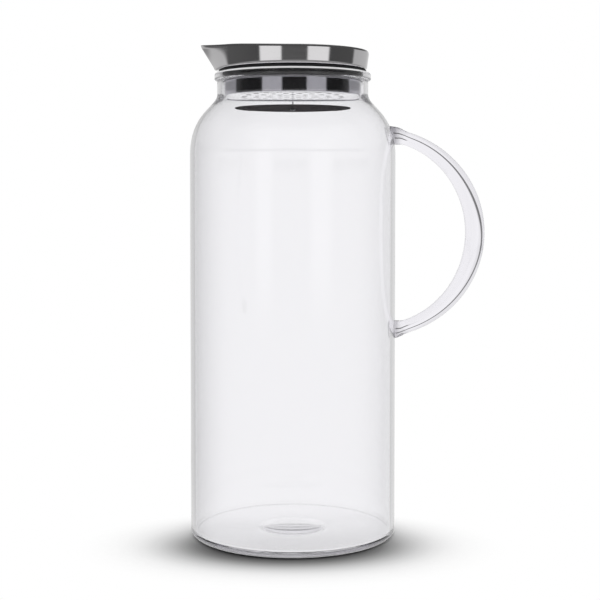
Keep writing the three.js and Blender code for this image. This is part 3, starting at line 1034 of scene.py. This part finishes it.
# cards above, below and between those bands: the stretch over which each comes in, of the mirrored ray's
# upward part or, for a turn, of its backward part, and then its level
mirrorCards = {
    "steelFloor": (-0.16, -0.27),
    "steelFloorLevel": 0.3,
    "steelSky": (0.16, 0.3),
    "steelSkyLevel": 0.08,
    "steelZenith": (0.64, 0.84),
    "steelZenithLevel": 0.65,
    "glow": (-0.13, -0.03),
    "neckTurn": (0.1, -0.2),
    "neckSpan": ((0.055, 0.07), (0.125, 0.105)),
    "neckLevel": 0.06,
    "skyTurn": (-0.6, 0.0),
    "glassSky": (0.2, 0.4),
    "glassSkyLevels": (0.7, 0.32),
    "glassZenith": (0.4, 0.8),
    "glassZenithLevel": 0.05,
    "glassFloor": (-0.2, -0.35),
    "glassFloorLevel": 0.8,
    "wallSpan": ((0.1, 0.16), (0.7, 0.4)),
    "wallLevels": (0.85, 0.5),
}
# what is mirrored behind more than one wall: darker steel bands towards the front, else near white
deepCards = {
    "steelPower": 1.8,
    "frontTurn": (0.3, 0.2),
    "frontSpan": ((0.01, 0.04), (0.19, 0.14)),
    "plainTurn": (0.3, 0.6),
    "plainLevels": (0.85, 1.0),
    "highTurn": (0.5, 0.7),
    "high": (0.235, 0.275),
    "highLevel": 0.3,
    "plugTurn": (0.85, 0.75),
    "plugSpan": ((0.074, 0.079), (0.099, 0.094)),
    "plugLevel": 0.5,
}
# grey cards behind, seen only through the glass: share of light that each takes, at its side or upper left
sideCards = {
    "upperReach": (-0.03, -0.075),
    "upperHeight": (0.025, 0.042),
    "upper": 0.05,
    "leftReach": (-0.085, -0.18),
    "rightReach": (0.09, 0.18),
    "left": 0.09,
    "right": 0.02,
}
# dark card behind, seen only through the solid rod: half an ellipse, in degrees from straight behind
rodCard = {
    "middle": (-2.0, 2.0),
    "reach": (25.0, 10.0),
    "width": 0.34,
    "side": (8.0, 3.0),
    "level": 0.17,
}


def lightWorld():
    # white to the camera and through clear glass; mirrored rays see the studio, diffuse rays an even sky
    world = bpy.data.worlds.new("studio")
    scene.world = world
    world.use_nodes = True
    nodes, links = world.node_tree.nodes, world.node_tree.links
    light = nodes.new("ShaderNodeLightPath")
    direction = nodes.new("ShaderNodeTexCoord").outputs["Generated"]
    split = nodes.new("ShaderNodeSeparateXYZ")
    links.new(direction, split.inputs[0])
    x, y, z = split.outputs

    def bandRamp(stops):
        return levelRamp(nodes, links, around, [(degrees / 360 + 0.5, level) for degrees, level in stops])

    def blend(factor, first, second):
        return mixNode(nodes, links, factor, first, second)

    def rise(value, start, stop):
        return rangeNode(nodes, links, value, start, stop, 0, 1, True)

    def both(first, second):
        return mathNode(nodes, links, "MULTIPLY", first, second)

    def within(value, lower, upper):
        return both(rise(value, *lower), rise(value, *upper))

    azimuth = mathNode(nodes, links, "ARCTAN2", x, both(y, -1))
    around = rangeNode(nodes, links, azimuth, -math.pi, math.pi, 0, 1)
    steel = blend(rise(z, *mirrorCards["steelFloor"]), bandRamp(steelBands), mirrorCards["steelFloorLevel"])
    steel = blend(rise(z, *mirrorCards["steelSky"]), steel, mirrorCards["steelSkyLevel"])
    steel = blend(rise(z, *mirrorCards["steelZenith"]), steel, mirrorCards["steelZenithLevel"])
    glow = both(bandRamp(glassHighlights), rise(z, *mirrorCards["glow"]))
    clear = mathNode(nodes, links, "ADD", bandRamp(glassBands), glow)
    atNeck = both(rise(y, *mirrorCards["neckTurn"]), within(z, *mirrorCards["neckSpan"]))
    clear = blend(atNeck, clear, mirrorCards["neckLevel"])
    skyTurn = rise(y, *mirrorCards["skyTurn"])
    clear = blend(rise(z, *mirrorCards["glassSky"]), clear, blend(skyTurn, *mirrorCards["glassSkyLevels"]))
    clear = blend(rise(z, *mirrorCards["glassZenith"]), clear, mirrorCards["glassZenithLevel"])
    clear = blend(rise(z, *mirrorCards["glassFloor"]), clear, mirrorCards["glassFloorLevel"])

    passes = light.outputs["Transmission Depth"]  # faces of glass behind the ray: two for each wall
    fromFront = both(light.outputs["Is Singular Ray"], mathNode(nodes, links, "LESS_THAN", passes, 0.5))
    oneWall = mathNode(nodes, links, "COMPARE", passes, 2, 0.5)
    byGlass = mathNode(nodes, links, "MAXIMUM", fromFront, oneWall)
    deep = mathNode(nodes, links, "GREATER_THAN", passes, 2.5)
    toFront = both(rise(y, *deepCards["frontTurn"]), within(z, *deepCards["frontSpan"]))
    plain = both(deep, mathNode(nodes, links, "SUBTRACT", 1, toFront))
    inWall = both(oneWall, within(z, *mirrorCards["wallSpan"]))
    clear = blend(inWall, clear, blend(skyTurn, *mirrorCards["wallLevels"]))
    steel = blend(deep, steel, mathNode(nodes, links, "POWER", steel, deepCards["steelPower"]))
    inner = blend(rise(y, *deepCards["plainTurn"]), *deepCards["plainLevels"])
    highBack = both(rise(y, *deepCards["highTurn"]), rise(z, *deepCards["high"]))
    inner = blend(highBack, inner, deepCards["highLevel"])
    atPlug = both(rise(y, *deepCards["plugTurn"]), within(z, *deepCards["plugSpan"]))
    inner = blend(atPlug, inner, deepCards["plugLevel"])
    mirror = blend(plain, blend(byGlass, steel, clear), inner)

    behind = both(mathNode(nodes, links, "ARCTAN2", x, y), 180 / math.pi)
    height = both(mathNode(nodes, links, "ARCSINE", z), 180 / math.pi)
    parts = []
    for value, middle, reach in zip((behind, height), rodCard["middle"], rodCard["reach"]):
        part = mathNode(nodes, links, "DIVIDE", mathNode(nodes, links, "SUBTRACT", value, middle), reach)
        parts.append(both(part, part))
    ring = mathNode(nodes, links, "SQRT", mathNode(nodes, links, "ADD", *parts))
    off = mathNode(nodes, links, "ABSOLUTE", mathNode(nodes, links, "SUBTRACT", ring, 1))
    onRing = rise(off, rodCard["width"], rodCard["width"] / 3)
    card = both(oneWall, both(onRing, rise(behind, *rodCard["side"])))
    taken = mathNode(nodes, links, "ADD", both(rise(x, *sideCards["leftReach"]), sideCards["left"]),
                     both(rise(x, *sideCards["rightReach"]), sideCards["right"]))
    upper = both(rise(x, *sideCards["upperReach"]), rise(z, *sideCards["upperHeight"]))
    taken = mathNode(nodes, links, "ADD", taken, both(upper, sideCards["upper"]))
    taken = both(taken, mathNode(nodes, links, "GREATER_THAN", passes, 1.5))
    through = blend(card, mathNode(nodes, links, "SUBTRACT", 1, taken), rodCard["level"])

    mirrored = mathNode(nodes, links, "GREATER_THAN", light.outputs["Glossy Depth"], 0.5)
    seen = blend(mirrored, through, mirror)
    shaded = blend(light.outputs["Is Transmission Ray"], stage["skyLevel"], stage["shadeLevel"])
    bounced = mathNode(nodes, links, "GREATER_THAN", light.outputs["Diffuse Depth"], 0.5)
    links.new(blend(bounced, seen, shaded), nodes["Background"].inputs["Color"])


def hangLamp():
    # one broad lamp overhead, kept out of reflections
    lamp = bpy.data.lights.new("overheadLamp", "AREA")
    lamp.size = stage["lampSize"]
    lamp.energy = stage["lampPower"]
    holder = bpy.data.objects.new("overheadLamp", lamp)
    holder.location = (0, -stage["lampForward"], stage["lampHeight"])
    holder.visible_glossy = False
    holder.visible_transmission = False
    holder.visible_camera = False
    collection.objects.link(holder)


layFloor()
lightWorld()
hangLamp()
scene.view_settings.view_transform = "Standard"
bounces = 64  # enough for rays that run on inside the glass
scene.cycles.max_bounces = bounces
scene.cycles.transmission_bounces = bounces
scene.cycles.glossy_bounces = bounces
print("stage set")


# camera

view = {
    "distance": 0.685,
    "height": 0.182,
    "aside": 0.0039,
    "pitch": 2.35,
    "lens": 76.35,
    "shift": -0.087,
    "sensor": 36.0,
    "nearest": 0.01,
}
camera = bpy.data.cameras.new("photoCamera")
camera.lens = view["lens"]
camera.sensor_width = view["sensor"]
camera.shift_y = view["shift"]
camera.clip_start = view["nearest"]
cameraHolder = bpy.data.objects.new("photoCamera", camera)
cameraHolder.location = (view["aside"], -view["distance"], view["height"])
cameraHolder.rotation_euler = (math.radians(90 - view["pitch"]), 0, 0)
collection.objects.link(cameraHolder)
scene.camera = cameraHolder
print("camera set")
